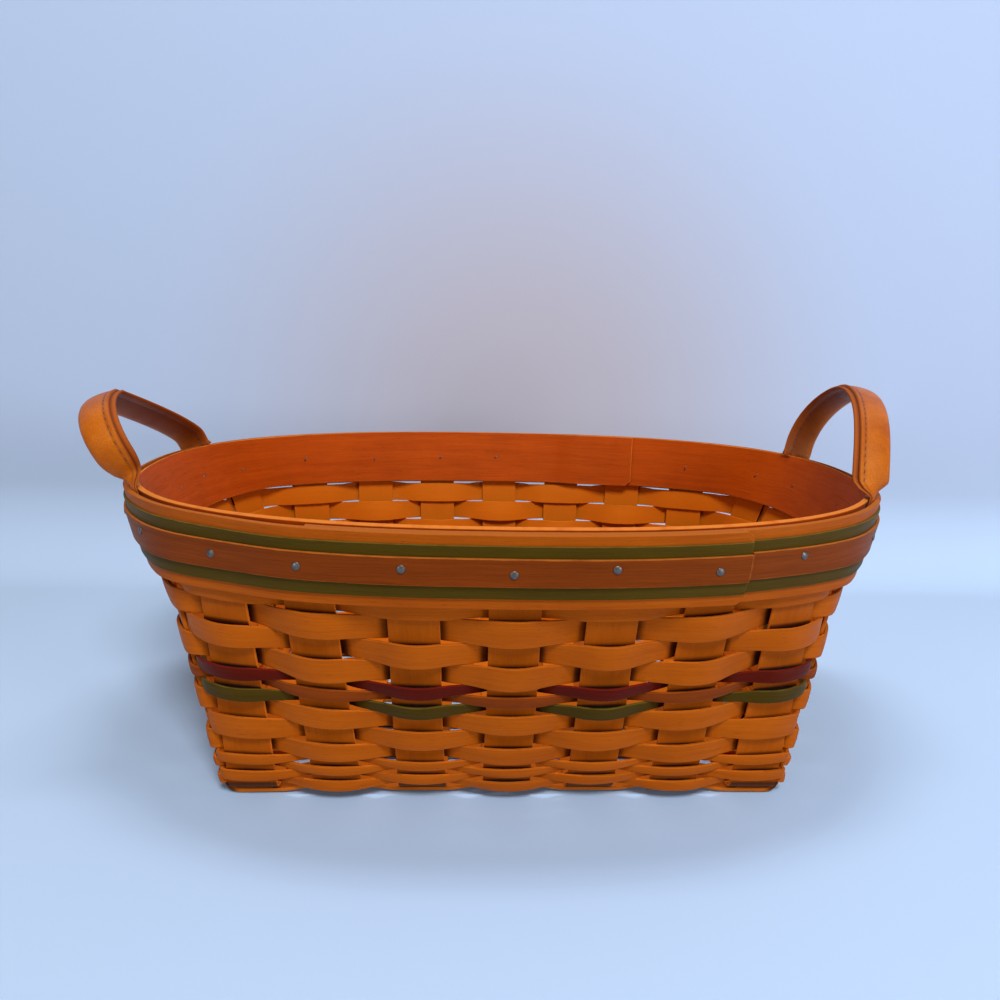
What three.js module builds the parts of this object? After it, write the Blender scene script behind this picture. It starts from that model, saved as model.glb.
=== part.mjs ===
// Woven splint basket with two leather ears. Sizes in millimetres, Z is up.
// X runs along the basket, the front wall faces -Y, the ears stand at both ends.
import * as THREE from 'three';

// Overall size, measured at the middle of the upright splints
const rimLength = 269;
const rimWidth = 172;
const rimRoundness = 2.4; // 2 is a plain ellipse, more is squarer
const basketHeight = 100; // floor to the top of the rim bands

// Upright splints, which cross under the basket and stand up as the walls
const crossCount = 7; // run front to back
const lengthCount = 6; // run end to end
const uprightWidth = 15.9;
const uprightThickness = 1.2;
const crossPitchFloor = 28;
const crossPitchRim = 30;
const lengthPitchFloor = 21.1;
const lengthPitchRim = 19.2;
const cornerRoom = 4; // floor, from the last upright's edge to the wall
const floorGap = 0.3; // between two uprights where they cross
const floorEase = 0.2; // flat part beyond the edge of a crossing upright
const turnReach = 2.9; // how far the turn from floor to wall reaches
const uprightTopDrop = 1; // uprights stop this far below the rim top

// Woven rows, listed from the rim down
const weaverThickness = 1;
const weaveGap = 0.4; // between an upright and the weaver on it
const rowGap = 0.33; // between two rows
const weaveDrop = 21.6; // from the rim top down to the first row
const rowFoot = 4.4; // floor to the last row
const backDrop = 2.6; // the first row lies this much lower at the back
const wideWidth = 8.3;
const broadWidth = 7.45;
const middleWidth = 6.15;
const lowerWidth = 5.6;
const colourWidth = 3.5;
const accentWidth = 3.3;
const narrowWidth = 2.5;
const rimRowBow = 0.2; // how far each row bows off the uprights on the long walls
const wideBow = 2.1;
const broadBow = 3;
const colourBow = 3.1;
const accentBow = 1.3;
const middleBow = 1.8;
const narrowBow = 1.5;
const lastBow = 2.3;
const edgeBow = 0.3; // share of the bow at an upright's edges
const cornerBow = 0.6; // share of it on the last upright of a long wall
const endBow = 0.2; // and on the two ends
const endGap = 0.4; // between the two ends of one weaver

// Rim bands that pinch the uprights from both sides
const bandThickness = 1.6;
const bandGap = 0.3; // between any two layers of the rim
const outerBandHeight = 23.6;
const outerBandDrop = 0.4; // below the inner band's top
const innerBandHeight = 22.3;
const rowClearance = 0.25; // between a band's lower edge and the first row
const endClip = 1.8; // cut corners at the band ends
const outerOverlapStart = -2.17; // uprights from the front centre
const outerOverlapEnd = 2.36;
const innerSeam = 2.13; // uprights from the back centre
const innerOverlap = 0.85; // uprights

// Trim strips on the outer band
const greenWidth = 16.8;
const greenThickness = 0.7;
const greenDrop = 3.7; // below the rim top
const accentStripWidth = 8.9;
const accentStripThickness = 0.9;
const accentStripDrop = 7.3;
const trimButtGap = 0.6;

// Leather ears
const strapThickness = 1.2;
const tabWidth = 4.6; // it goes down between two uprights
const tabDepth = 16;
const tabRise = 0.7; // above the rim top
const hingeGap = 0.3; // from a tab to the loop above it
const loopHeight = 29; // centre line above the hinge
const loopWidth = 12.6;
const loopEdge = 2.4; // thickness at the raw edges
const loopFold = 3.4; // thickness at the padded fold
const footWidth = 8.4;
const footTaper = 1.7; // height of the wedge at the foot
const twistLength = 11; // over which the strap turns edge on
const leftLean = 36; // degrees outward, as each ear rests
const rightLean = 12;
const loopSteps = 26;

// Colours
const naturalColour = 0xc8792a;
const bandColour = 0xcf8436;
const redColour = 0x7a1a24;
const accentColour = 0x9a5a2a;
const greenColour = 0x66703a;
const leatherColour = 0xb8752c;

// The front uprights stray sideways at the rim
const frontStray = [-1.3, -3.5, -1.3, 0.8, 2.1, 2.8, 2.9];

// Where each upright meets the floor line and the rim, going round from the front left
const rimA = rimLength / 2;
const rimB = rimWidth / 2;
const floorHalfLength = crossPitchFloor * (crossCount - 1) / 2 + uprightWidth / 2 + cornerRoom;
const floorHalfWidth = lengthPitchFloor * (lengthCount - 1) / 2 + uprightWidth / 2 + cornerRoom;
const uprightCount = 2 * (crossCount + lengthCount);
const halfThickness = uprightThickness / 2;
const edgeReach = uprightWidth / 2 + 0.3;
const bandBottom = basketHeight - outerBandDrop - outerBandHeight;

function ovalAlong(x, y) {
  // Direction of travel round the rim, counter-clockwise from above
  const power = rimRoundness - 1;
  const nx = Math.sign(x) * Math.abs(x) ** power / rimA ** rimRoundness;
  const ny = Math.sign(y) * Math.abs(y) ** power / rimB ** rimRoundness;
  const size = Math.hypot(nx, ny);
  return [-ny / size, nx / size];
}

function ovalOther(value, own, other) {
  return other * (1 - Math.abs(value / own) ** rimRoundness) ** (1 / rimRoundness);
}

function sideUpright(index, count, pitchFloor, pitchRim, side) {
  // side 0 front, 1 right end, 2 back, 3 left end
  const step = index - (count - 1) / 2;
  const sign = side < 2 ? 1 : -1;
  const across = side % 2 === 1;
  const floorU = sign * step * pitchFloor;
  const rimU = sign * step * pitchRim + (side === 0 ? frontStray[index] : 0);
  if (across) {
    const x = sign * ovalOther(rimU, rimB, rimA);
    return {
      floor: [sign * floorHalfLength, floorU],
      floorAlong: [0, sign],
      rim: [x, rimU],
      rimAlong: ovalAlong(x, rimU),
    };
  }
  const y = -sign * ovalOther(rimU, rimA, rimB);
  return {
    floor: [floorU, -sign * floorHalfWidth],
    floorAlong: [sign, 0],
    rim: [rimU, y],
    rimAlong: ovalAlong(rimU, y),
  };
}

const uprights = [];
for (let side = 0; side < 4; side += 1) {
  const count = side % 2 === 0 ? crossCount : lengthCount;
  const pitchFloor = side % 2 === 0 ? crossPitchFloor : lengthPitchFloor;
  const pitchRim = side % 2 === 0 ? crossPitchRim : lengthPitchRim;
  for (let index = 0; index < count; index += 1) {
    uprights.push(sideUpright(index, count, pitchFloor, pitchRim, side));
  }
}

function mix(a, b, share) {
  return a.map((value, index) => value + (b[index] - value) * share);
}

function unit(vector) {
  const size = Math.hypot(...vector);
  return vector.map((value) => value / size);
}

function uprightAt(k, z) {
  // Centre of an upright at a height, with the directions along and out of the wall
  const upright = uprights[((k % uprightCount) + uprightCount) % uprightCount];
  const rise = z / basketHeight;
  const centre = mix(upright.floor, upright.rim, rise);
  const along = unit(mix(upright.floorAlong, upright.rimAlong, rise));
  return { centre, along, out: [along[1], -along[0]] };
}

// Positions round the wall are counted in uprights: 0 is the first upright's middle,
// and from -edgeShare to edgeShare lies its flat face
const edgeShare = 0.28;

function wallPoint(s, z, offset) {
  const k = Math.round(s);
  const share = (s - k) / edgeShare;
  if (Math.abs(share) <= 1.0001) {
    const { centre, along, out } = uprightAt(k, z);
    return [
      centre[0] + along[0] * share * edgeReach + out[0] * offset,
      centre[1] + along[1] * share * edgeReach + out[1] * offset,
      z,
    ];
  }
  // Between two uprights the wall bows out a little where it goes round a corner
  const before = Math.floor(s);
  const from = wallPoint(before + edgeShare, z, offset);
  const to = wallPoint(before + 1 - edgeShare, z, offset);
  const gapShare = (s - before - edgeShare) / (1 - 2 * edgeShare);
  const a = uprightAt(before, z).out;
  const b = uprightAt(before + 1, z).out;
  const turn = Math.acos(Math.min(1, a[0] * b[0] + a[1] * b[1]));
  const span = Math.hypot(to[0] - from[0], to[1] - from[1]);
  const bow = span * turn / 8 * 4 * gapShare * (1 - gapShare);
  const out = unit([a[0] + b[0], a[1] + b[1]]);
  const point = mix(from, to, gapShare);
  return [point[0] + out[0] * bow, point[1] + out[1] * bow, z];
}

// Of a strip's four sides, the two broad ones, which twist where the wall turns
const broadSides = [0, 2];

// Solids are swept through rings of points and closed at both ends
function sweep(rings, crossed = []) {
  const points = [];
  const faces = [];
  const size = rings[0].length;
  rings.forEach((ring) => ring.forEach((point) => points.push(point)));
  for (let r = 0; r < rings.length - 1; r += 1) {
    for (let i = 0; i < size; i += 1) {
      const a = r * size + i;
      const b = r * size + (i + 1) % size;
      const c = b + size;
      const d = a + size;
      if (crossed.includes(i)) {
        const middle = points.length;
        const corners = [points[a], points[b], points[c], points[d]];
        points.push([0, 1, 2].map((axis) => corners.reduce((sum, p) => sum + p[axis], 0) / 4));
        faces.push([a, b, middle], [b, c, middle], [c, d, middle], [d, a, middle]);
      } else {
        faces.push([a, b, c], [a, c, d]);
      }
    }
  }
  const last = (rings.length - 1) * size;
  for (let i = 1; i < size - 1; i += 1) {
    faces.push([0, i + 1, i]);
    faces.push([last, last + i, last + i + 1]);
  }
  return { points, faces };
}

function toGeometry({ points, faces }) {
  let volume = 0;
  faces.forEach(([a, b, c]) => {
    const p = new THREE.Vector3(...points[a]);
    const q = new THREE.Vector3(...points[b]);
    const r = new THREE.Vector3(...points[c]);
    volume += p.dot(q.cross(r)) / 6;
  });
  const ordered = volume > 0 ? faces : faces.map(([a, b, c]) => [a, c, b]);
  const geometry = new THREE.BufferGeometry();
  geometry.setAttribute('position', new THREE.Float32BufferAttribute(points.flat(), 3));
  geometry.setIndex(ordered.flat());
  geometry.computeVertexNormals();
  return geometry;
}

const basket = new THREE.Group();
basket.name = 'woven_splint_basket';

function add(name, shape, colour, roughness = 0.75) {
  const material = new THREE.MeshStandardMaterial({ color: colour, roughness });
  material.name = name;
  const mesh = new THREE.Mesh(toGeometry(shape), material);
  mesh.name = name;
  basket.add(mesh);
}

// Uprights
const lowLevel = halfThickness;
const highLevel = halfThickness + uprightThickness + floorGap;

function crossIsHigh(i, j) {
  return (i + j) % 2 === 0;
}

function uprightRing(centre, along, out) {
  const ring = [];
  [[-1, 1], [1, 1], [1, -1], [-1, -1]].forEach(([side, face]) => {
    ring.push([0, 1, 2].map((axis) => centre[axis]
      + along[axis] * side * uprightWidth / 2
      + out[axis] * face * halfThickness));
  });
  return ring;
}

function wallRings(k, level) {
  // From the floor round the turn and up to the rim
  const upright = uprights[k];
  const foot = uprightAt(k, level);
  const inward = [-foot.out[0], -foot.out[1]];
  const rise = unit([
    (upright.rim[0] - upright.floor[0]) / basketHeight,
    (upright.rim[1] - upright.floor[1]) / basketHeight,
    1,
  ]);
  const corner = [...foot.centre, level];
  const floorOut = [upright.floorAlong[1], -upright.floorAlong[0]];
  const start = [corner[0] - floorOut[0] * turnReach, corner[1] - floorOut[1] * turnReach, level];
  const end = corner.map((value, axis) => value + rise[axis] * turnReach);
  const rings = [];
  [0, 0.25, 0.5, 0.75, 1].forEach((share) => {
    const point = mix(mix(start, corner, share), mix(corner, end, share), share);
    const here = uprightAt(k, share * end[2]);
    const out = unit(mix([0, 0, -1], [...here.out, 0], share));
    rings.push(uprightRing(point, [...here.along, 0], out));
  });
  const top = basketHeight - uprightTopDrop;
  const twist = Math.acos(Math.min(1, upright.floorAlong[0] * upright.rimAlong[0]
    + upright.floorAlong[1] * upright.rimAlong[1])) * 180 / Math.PI;
  const steps = Math.max(1, Math.ceil(twist / 7));
  for (let step = 1; step <= steps; step += 1) {
    const z = end[2] + (top - end[2]) * step / steps;
    const here = uprightAt(k, z);
    rings.push(uprightRing([...here.centre, z], [...here.along, 0], [...here.out, 0]));
  }
  return rings;
}

function floorRings(levels, pitch, along, place) {
  // One flat stretch on or under every crossing upright
  const reach = uprightWidth / 2 + floorEase;
  const rings = [];
  levels.forEach((level, index) => {
    const middle = (index - (levels.length - 1) / 2) * pitch;
    [-reach, reach].forEach((shift) => {
      rings.push(uprightRing(place(middle + shift, level), along, [0, 0, -1]));
    });
  });
  return rings;
}

function buildUpright(name, levels, pitch, along, place, startK, endK) {
  const first = wallRings(startK, levels[0]);
  const last = wallRings(endK, levels[levels.length - 1]);
  const floor = floorRings(levels, pitch, along, place);
  // The first wall is walked down and seen from the other side, so its rings are mirrored
  const down = first.reverse().map((ring) => {
    const sameWay = uprights[startK].floorAlong[0] * along[0]
      + uprights[startK].floorAlong[1] * along[1] > 0;
    return sameWay ? ring : [ring[1], ring[0], ring[3], ring[2]];
  });
  const up = last.map((ring) => {
    const sameWay = uprights[endK].floorAlong[0] * along[0]
      + uprights[endK].floorAlong[1] * along[1] > 0;
    return sameWay ? ring : [ring[1], ring[0], ring[3], ring[2]];
  });
  // The outermost floor ring gives way to the start of the turn
  const middle = floor.slice(1, -1);
  add(name, sweep([...down, ...middle, ...up], broadSides), naturalColour);
}

for (let i = 0; i < crossCount; i += 1) {
  const x = (i - (crossCount - 1) / 2) * crossPitchFloor;
  const levels = [];
  for (let j = 0; j < lengthCount; j += 1) {
    levels.push(crossIsHigh(i, j) ? highLevel : lowLevel);
  }
  const backK = crossCount + lengthCount + (crossCount - 1 - i);
  const place = (y, z) => [x, y, z];
  buildUpright(`upright_cross_${i + 1}`, levels, lengthPitchFloor, [1, 0, 0], place, i, backK);
}

for (let j = 0; j < lengthCount; j += 1) {
  const y = (j - (lengthCount - 1) / 2) * lengthPitchFloor;
  const levels = [];
  for (let i = 0; i < crossCount; i += 1) {
    levels.push(crossIsHigh(i, j) ? lowLevel : highLevel);
  }
  const rightK = crossCount + j;
  const leftK = 2 * crossCount + lengthCount + (lengthCount - 1 - j);
  const place = (x, z) => [x, y, z];
  buildUpright(`upright_length_${j + 1}`, levels, crossPitchFloor, [0, 1, 0], place, leftK, rightK);
}

// Woven rows
const weaveTop = basketHeight - weaveDrop;
const weaveOffset = halfThickness + weaveGap + weaverThickness / 2;
const rows = [
  ['wide', wideWidth, rimRowBow, naturalColour],
  ['wide', wideWidth, wideBow, naturalColour],
  ['wide', broadWidth, broadBow, naturalColour],
  ['wide', broadWidth, broadBow, naturalColour],
  ['red', colourWidth, colourBow, redColour],
  ['accent', accentWidth, accentBow, accentColour],
  ['green', colourWidth, colourBow, greenColour],
  ['middle', middleWidth, middleBow, naturalColour],
  ['middle', middleWidth, middleBow, naturalColour],
  ['middle', lowerWidth, middleBow, naturalColour],
  ['narrow', narrowWidth, narrowBow, naturalColour],
  ['narrow', narrowWidth, narrowBow, naturalColour],
  ['narrow', narrowWidth, narrowBow, naturalColour],
  ['narrow', narrowWidth, lastBow, naturalColour],
];

function stripRing(s, low, high, innerLow, innerHigh, thickness) {
  return [
    wallPoint(s, low, innerLow + thickness),
    wallPoint(s, high, innerHigh + thickness),
    wallPoint(s, high, innerHigh),
    wallPoint(s, low, innerLow),
  ];
}

function gapAbove(row) {
  return row === 0 ? 0 : rowGap;
}

function bowShare(k) {
  // Full on the long walls, less at their corners, and little on the short ends
  const place = ((k % uprightCount) + uprightCount) % (uprightCount / 2);
  if (place >= crossCount) return endBow;
  return place === 0 || place === crossCount - 1 ? cornerBow : 1;
}

// The rows are packed to fill the wall from weaveTop down to rowFoot
const rowsTall = rows.reduce((sum, [, width], row) => sum + width + gapAbove(row), 0);
const packing = (weaveTop - rowFoot) / rowsTall;

function rowHeight(s, z) {
  const turn = 2 * Math.PI * (s - (crossCount - 1) / 2) / uprightCount;
  return z - backDrop * (z / weaveTop) * (1 - Math.cos(turn)) / 2;
}

let depth = 0;
rows.forEach(([kind, width, bow, colour], row) => {
  depth += gapAbove(row);
  const high = weaveTop - depth * packing;
  depth += width;
  const low = weaveTop - depth * packing;
  // Every row starts behind another upright, where it runs inside the wall
  const start = (row * 5 + (row % 2 === 0 ? 1 : 0)) % uprightCount;
  const startIn = (start + row) % 2 === 1 ? start : start + 1;
  const pitch = rimLength / crossCount;
  const trim = endGap / 2 / pitch;
  const rings = [];
  for (let k = startIn; k <= startIn + uprightCount; k += 1) {
    const side = (k + row) % 2 === 0 ? 1 : -1;
    const share = bowShare(k);
    const stops = [];
    if (k > startIn) stops.push(-edgeShare);
    if (k === startIn) stops.push(trim);
    if (k === startIn + uprightCount) stops.push(-trim);
    if (row > 0 && share > endBow && k > startIn && k < startIn + uprightCount) stops.push(0);
    if (k < startIn + uprightCount) stops.push(edgeShare);
    stops.forEach((stop) => {
      const middle = Math.abs(stop) < edgeShare;
      const offset = side * (weaveOffset + bow * share * (middle ? 1 : edgeBow)) - weaverThickness / 2;
      rings.push(stripRing(k + stop, rowHeight(k + stop, low), rowHeight(k + stop, high),
        offset, offset, weaverThickness));
    });
  }
  const number = String(row + 1).padStart(2, '0');
  add(`weaver_${number}_${kind}`, sweep(rings), colour);
});

// Rim bands
const rimClear = halfThickness + bandGap;
const rowFace = weaveOffset + weaverThickness / 2 + rimRowBow + rowClearance;
const frontCentre = (crossCount - 1) / 2;
const backCentre = crossCount + lengthCount + (crossCount - 1) / 2;
const earGaps = [
  [crossCount + 0.5, crossCount + lengthCount - 1.5],
  [2 * crossCount + lengthCount + 0.5, uprightCount - 1.5],
];

function bandStops(from, to) {
  // Every bend of the wall between two positions, with both ends
  const stops = [from];
  for (let k = Math.floor(from) - 1; k <= Math.ceil(to) + 1; k += 1) {
    [k - edgeShare, k + edgeShare].forEach((stop) => {
      if (stop > from + 0.03 && stop < to - 0.03) stops.push(stop);
    });
  }
  stops.push(to);
  return stops.sort((a, b) => a - b);
}

const overlapFrom = frontCentre + outerOverlapStart;
const overlapTo = frontCentre + outerOverlapEnd;
const layer = bandThickness + bandGap;

function outerLayer(s) {
  // 0 on the uprights, 1 where the band lies over its own start
  const climbEnd = Math.floor(overlapFrom + edgeShare) + uprightCount - edgeShare;
  const climbStart = climbEnd - (1 - 2 * edgeShare);
  return Math.max(0, Math.min(1, (s - climbStart) / (climbEnd - climbStart)));
}

// Both bands pinch the uprights at the top and stand clear of the first row below
function footFace(top, height) {
  return rimClear + (rowFace - rimClear) * height / (top - weaveTop);
}

const outerTop = basketHeight - outerBandDrop;
const outerFoot = footFace(outerTop, outerBandHeight);

function outerFace(z, level) {
  const share = (z - bandBottom) / outerBandHeight;
  return outerFoot + (rimClear - outerFoot) * share + level;
}

const outerRings = [];
bandStops(overlapFrom, overlapTo + uprightCount - 0.06).forEach((s) => {
  const level = outerLayer(s) * layer;
  outerRings.push(stripRing(s, bandBottom, outerTop, outerFace(bandBottom, level),
    outerFace(outerTop, level), bandThickness));
});
const clipS = overlapTo + uprightCount;
const clipLow = bandBottom + endClip;
const clipHigh = outerTop - endClip;
outerRings.push(stripRing(clipS, clipLow, clipHigh, outerFace(clipLow, layer),
  outerFace(clipHigh, layer), bandThickness));
add('rim_band_outer', sweep(outerRings, broadSides), bandColour);

// Trim strips, one turn, from one side of the outer band's end to the other
function addTrim(name, width, drop, thickness, lift, colour) {
  const high = basketHeight - drop;
  const low = high - width;
  const buttShare = trimButtGap / crossPitchRim;
  const rings = bandStops(overlapTo + buttShare, overlapTo + uprightCount - buttShare).map((s) => {
    const level = outerLayer(s) * layer + bandThickness + bandGap + lift;
    return stripRing(s, low, high, outerFace(low, level), outerFace(high, level), thickness);
  });
  add(name, sweep(rings, broadSides), colour);
}

addTrim('rim_trim_green', greenWidth, greenDrop, greenThickness, 0, greenColour);
addTrim('rim_trim_accent', accentStripWidth, accentStripDrop, accentStripThickness,
  greenThickness + bandGap, accentColour);

// The inner band starts on top of its own end
const seam = backCentre - innerSeam;
const innerLow = basketHeight - innerBandHeight;
const innerFoot = footFace(basketHeight, innerBandHeight);

function innerRing(s, lowZ, highZ, level) {
  const share = (z) => (z - innerLow) / innerBandHeight;
  const face = (z) => -(innerFoot + (rimClear - innerFoot) * share(z)) - level * layer;
  return stripRing(s, lowZ, highZ, face(lowZ) - bandThickness, face(highZ) - bandThickness,
    bandThickness);
}

const innerRings = [innerRing(seam, innerLow + endClip, basketHeight, 1)];
bandStops(seam + 0.06, seam + uprightCount + innerOverlap).forEach((s) => {
  const past = s - (seam + innerOverlap);
  const level = Math.max(0, Math.min(1, 1 - (past - 0.05) / 0.4));
  innerRings.push(innerRing(s, innerLow, basketHeight, level));
});
add('rim_band_inner', sweep(innerRings, broadSides), bandColour);

// Leather ears: two tabs held in the rim, and a loop that flexes above them
const hingeHeight = basketHeight + tabRise + hingeGap;

function tabSeat(gap, z) {
  // A tab goes down between two uprights, in line with them
  const from = wallPoint(Math.floor(gap) + edgeShare, z, 0);
  const to = wallPoint(Math.ceil(gap) - edgeShare, z, 0);
  const along = unit([to[0] - from[0], to[1] - from[1]]);
  return { middle: mix(from, to, 0.5), along, out: [along[1], -along[0]] };
}

function addTab(name, gap) {
  const rings = [basketHeight - tabDepth, basketHeight + tabRise].map((z) => {
    const { middle, along, out } = tabSeat(gap, z);
    return [[-1, 1], [1, 1], [1, -1], [-1, -1]].map(([side, face]) => [
      middle[0] + along[0] * side * tabWidth / 2 + out[0] * face * strapThickness / 2,
      middle[1] + along[1] * side * tabWidth / 2 + out[1] * face * strapThickness / 2,
      z,
    ]);
  });
  add(name, sweep(rings), leatherColour, 0.55);
}

function hingePoint(gap) {
  return tabSeat(gap, basketHeight + tabRise).middle;
}

function strapProfile(share) {
  // Half widths and half thicknesses, from the flat foot to the folded strap
  const edge = loopEdge / 2;
  const fold = loopFold / 2;
  const half = loopWidth / 2;
  const foot = footWidth / 2;
  const flat = [
    [-foot, -edge], [-foot, edge], [-foot * 0.3, edge], [foot * 0.3, edge],
    [foot, edge], [foot, -edge], [foot * 0.3, -edge], [-foot * 0.3, -edge],
  ];
  const folded = [
    [-half, -edge], [-half, edge], [half * 0.1, fold * 0.9], [half * 0.7, fold],
    [half, fold * 0.45], [half, -fold * 0.45], [half * 0.7, -fold], [half * 0.1, -fold * 0.9],
  ];
  return flat.map((point, index) => mix(point, folded[index], share));
}

function addLoop(name, gaps, side, lean) {
  const points = gaps.map(hingePoint);
  const halfSpan = Math.abs(points[0][1] - points[1][1]) / 2;
  const hingeX = (points[0][0] + points[1][0]) / 2;
  const angle = lean * Math.PI / 180;
  const up = [side * Math.sin(angle), 0, Math.cos(angle)];
  const outward = [side * Math.cos(angle), 0, -Math.sin(angle)];
  const bend = (t) => {
    const cos = Math.cos(t);
    const sin = Math.sin(t);
    return [-Math.sign(cos) * halfSpan * Math.abs(cos) ** 0.85, loopHeight * sin ** 0.95];
  };
  const path = [[-halfSpan, 0], [-halfSpan, footTaper]];
  for (let step = 2; step <= loopSteps - 2; step += 1) {
    const [y, v] = bend(Math.PI * step / loopSteps);
    if (v > footTaper * 1.6) path.push([y, v]);
  }
  path.push([halfSpan, footTaper], [halfSpan, 0]);
  const rings = path.map(([y, v], index) => {
    const before = path[Math.max(0, index - 1)];
    const after = path[Math.min(path.length - 1, index + 1)];
    const way = unit([after[0] - before[0], after[1] - before[1]]);
    const turned = Math.max(0, Math.min(1, (v - footTaper) / twistLength));
    const ease = turned * turned * (3 - 2 * turned);
    const wedge = v < footTaper ? 0.1 : 1;
    const inPlane = y < 0 ? [way[1], -way[0]] : [-way[1], way[0]];
    const flip = y < 0 ? 1 : -1;
    const wide = ease * Math.PI / 2;
    // The width turns from along the rim to square with it
    const wideY = Math.cos(wide) * inPlane[0];
    const wideV = Math.cos(wide) * inPlane[1];
    const wideO = Math.sin(wide);
    const thickY = -Math.sin(wide) * inPlane[0];
    const thickV = -Math.sin(wide) * inPlane[1];
    const thickO = Math.cos(wide);
    return strapProfile(ease).map(([w, t]) => {
      const tt = t * wedge * flip;
      const py = y + wideY * w + thickY * tt;
      const pv = v + wideV * w + thickV * tt;
      const po = wideO * w + thickO * tt;
      return [
        hingeX + up[0] * pv + outward[0] * po,
        py,
        hingeHeight + up[2] * pv + outward[2] * po,
      ];
    });
  });
  add(name, sweep(rings), leatherColour, 0.5);
}

addTab('ear_right_tab_front', earGaps[0][0]);
addTab('ear_right_tab_back', earGaps[0][1]);
addLoop('ear_right_loop', earGaps[0], 1, rightLean);
addTab('ear_left_tab_back', earGaps[1][0]);
addTab('ear_left_tab_front', earGaps[1][1]);
addLoop('ear_left_loop', earGaps[1], -1, leftLean);

// The origin lies on the floor, under the middle of the whole part
const box = new THREE.Box3().setFromObject(basket);
const shiftX = -(box.min.x + box.max.x) / 2;
const shiftY = -(box.min.y + box.max.y) / 2;
basket.children.forEach((mesh) => mesh.geometry.translate(shiftX, shiftY, -box.min.z));

export default basket;
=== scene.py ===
import math
import bmesh
import bpy
from mathutils import Matrix, Vector, noise


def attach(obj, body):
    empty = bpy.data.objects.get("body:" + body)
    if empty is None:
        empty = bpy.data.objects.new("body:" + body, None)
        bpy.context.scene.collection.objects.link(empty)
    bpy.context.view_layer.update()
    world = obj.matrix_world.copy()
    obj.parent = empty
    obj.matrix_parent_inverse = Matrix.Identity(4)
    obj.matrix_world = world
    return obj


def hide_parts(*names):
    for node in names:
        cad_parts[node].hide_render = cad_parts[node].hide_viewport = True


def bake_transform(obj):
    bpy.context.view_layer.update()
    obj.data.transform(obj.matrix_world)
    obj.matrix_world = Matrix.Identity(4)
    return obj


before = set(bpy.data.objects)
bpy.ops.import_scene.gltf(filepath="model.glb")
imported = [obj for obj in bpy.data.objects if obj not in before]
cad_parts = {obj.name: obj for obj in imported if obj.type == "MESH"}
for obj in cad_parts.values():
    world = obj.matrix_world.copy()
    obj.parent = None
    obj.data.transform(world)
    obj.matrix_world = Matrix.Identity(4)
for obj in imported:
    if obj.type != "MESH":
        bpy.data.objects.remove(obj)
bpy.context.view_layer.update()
scene = bpy.context.scene
scene.view_settings.view_transform = "Standard"


# The stand: a pale sheet of card lies under the basket and curves up behind it.
# Large soft lamps light it from above and in front, with a pale room around.
def srgb(red, green, blue):
    tones = [value / 255 for value in (red, green, blue)]
    linear = [t / 12.92 if t <= 0.04045 else ((t + 0.055) / 1.055) ** 2.4 for t in tones]
    return (*linear, 1.0)


def new_material(name):
    material = bpy.data.materials.new(name)
    material.use_nodes = True
    material.node_tree.nodes.clear()
    return material, material.node_tree


def node(tree, kind, settings=None, **values):
    # Base_Color stands for the socket called Base Color, and _2 for the one numbered 2
    made = tree.nodes.new(kind)
    for name, value in (settings or {}).items():
        setattr(made, name, value)
    for name, value in values.items():
        socket = made.inputs[int(name[1:]) if name[0] == "_" else name.replace("_", " ")]
        if isinstance(value, bpy.types.NodeSocket):
            tree.links.new(value, socket)
        else:
            socket.default_value = value
    return made


def reckon(tree, operation, first, second, third=0.0):
    return node(tree, "ShaderNodeMath", {"operation": operation}, _0=first, _1=second,
                _2=third).outputs[0]


def mix(tree, share, first, second, kind="MIX"):
    settings = {"data_type": "RGBA", "blend_type": kind}
    return node(tree, "ShaderNodeMix", settings, _0=share, _6=first, _7=second).outputs[2]


def ramp(tree, value, low, high, to_low=0.0, to_high=1.0, kind="LINEAR"):
    settings = {"clamp": True, "interpolation_type": kind}
    return node(tree, "ShaderNodeMapRange", settings, Value=value, From_Min=low, From_Max=high,
                To_Min=to_low, To_Max=to_high).outputs[0]


def uneven(tree, coords, scale, detail, roughness=0.5):
    return node(tree, "ShaderNodeTexNoise", Vector=coords, Scale=scale, Detail=detail,
                Roughness=roughness).outputs["Fac"]


def new_piece(name, bm, material):
    mesh = bpy.data.meshes.new(name)
    bm.to_mesh(mesh)
    bm.free()
    mesh.shade_smooth()
    mesh.materials.append(material)
    piece = bpy.data.objects.new(name, mesh)
    scene.collection.objects.link(piece)
    return piece


card_front, card_bend, card_top = -1.2, 0.135, 1.6
card_radius, card_bend_steps = 0.05, 16
card_half_width = 1.6
# The card's tones carry painted light and shade: lighter towards the right, where more light falls, and
# a grey patch of painted shadow on the back behind the basket
floor_left, floor_right = srgb(170, 192, 220), srgb(177, 203, 238)
back_left, back_right = srgb(168, 187, 218), srgb(174, 194, 230)
back_shadow_tone, back_shadow_place = srgb(176, 175, 191), (0.02, 0.19, 0.1)
left_end, right_end = -0.4, 0.45  # where the card has its left and its right tone
back_starts, back_full = 0.0, 0.09
shadow_core, shadow_reach = 0.02, 0.24
card_mottle = (0.93, 0.93, 0.95, 1)
card_glow = srgb(170, 166, 162)  # what the card throws back on the basket is plain grey

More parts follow.
